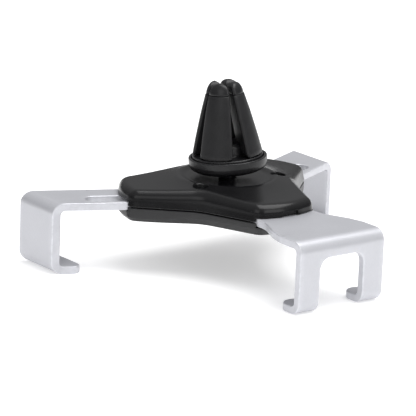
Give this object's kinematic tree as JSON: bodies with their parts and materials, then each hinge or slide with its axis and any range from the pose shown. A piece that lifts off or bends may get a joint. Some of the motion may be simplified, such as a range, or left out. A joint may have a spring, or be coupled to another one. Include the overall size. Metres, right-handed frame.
{
  "type": "car phone mount",
  "caption": "Gravity phone holder for a car air vent: hooked aluminium arms slide in a lobed black housing that carries a tilting, swivelling split-jaw clip",
  "frame": {"origin": "middle of the part's footprint, level with the undersides of the hooks it lies on", "axes": "+Z from the hooks up to the vent clip, -Y towards the bottom arm that carries the phone, X across the phone"},
  "size_m": [0.09, 0.0738, 0.0477],
  "materials": {
    "aluminium_sheet": "satin anodised sheet with a fine grain",
    "rear_plastic": "satin moulded black",
    "front_plastic": "satin moulded black",
    "pad_rubber": "soft matt pad",
    "sleeve_rubber": "smooth matt rubber",
    "steel": "bright zinc-plated",
    "black_steel": "blackened",
    "acetal": "natural acetal",
    "clip_plastic": "semi-gloss black"
  },
  "bodies": {
    "housing": {"front_shell": "front_plastic", "rear_shell": "rear_plastic", "front_pad": "pad_rubber", "case_screw_1": "black_steel", "case_screw_2": "black_steel", "case_screw_3": "black_steel", "ball_stud": "black_steel", "stud_screw": "steel", "guide_bush_left": "acetal", "guide_bush_right": "acetal", "guide_bush_bottom": "acetal", "return_spring": "steel"},
    "bottom_slider": {"bottom_arm": "aluminium_sheet", "cam_plate": "acetal", "cam_rivet_1": "steel", "cam_rivet_2": "steel"},
    "left_slider": {"side_arm_left": "aluminium_sheet", "cam_pin_left": "steel"},
    "right_slider": {"side_arm_right": "aluminium_sheet", "cam_pin_right": "steel"},
    "collar": {"collar": "clip_plastic"},
    "clip": {"clip_core": "clip_plastic", "jaw_sleeve_1": "sleeve_rubber", "jaw_sleeve_2": "sleeve_rubber", "jaw_sleeve_3": "sleeve_rubber", "jaw_sleeve_4": "sleeve_rubber"}
  },
  "joints": [
    {"name": "bottom_slide", "type": "slide", "parent": "housing", "child": "bottom_slider", "axis": [0, -1, 0], "range_m": [0, 0.007], "stiffness_N_per_m": 60, "springref_m": -0.004, "deforming": ["return_spring"]},
    {"name": "left_slide", "type": "slide", "parent": "housing", "child": "left_slider", "axis": [0.9063, -0.4226, 0], "range_m": [0, 0.0105]},
    {"name": "right_slide", "type": "slide", "parent": "housing", "child": "right_slider", "axis": [-0.9063, -0.4226, 0], "range_m": [0, 0.0105]},
    {"name": "clip_tilt", "type": "hinge", "parent": "housing", "child": "collar", "pos_m": [0, 0.00992, 0.027], "axis": [-0.6129, -0.7902, 0], "range_deg": [-13, 2]},
    {"name": "clip_swivel", "type": "hinge", "parent": "collar", "child": "clip", "pos_m": [0, 0.00992, 0.027], "axis": [-0.0675, 0.0524, 0.9963], "continuous": true}
  ],
  "couplings": [
    {"joint": "left_slide", "follows": "bottom_slide", "ratio": 1.5},
    {"joint": "right_slide", "follows": "bottom_slide", "ratio": 1.5}
  ]
}
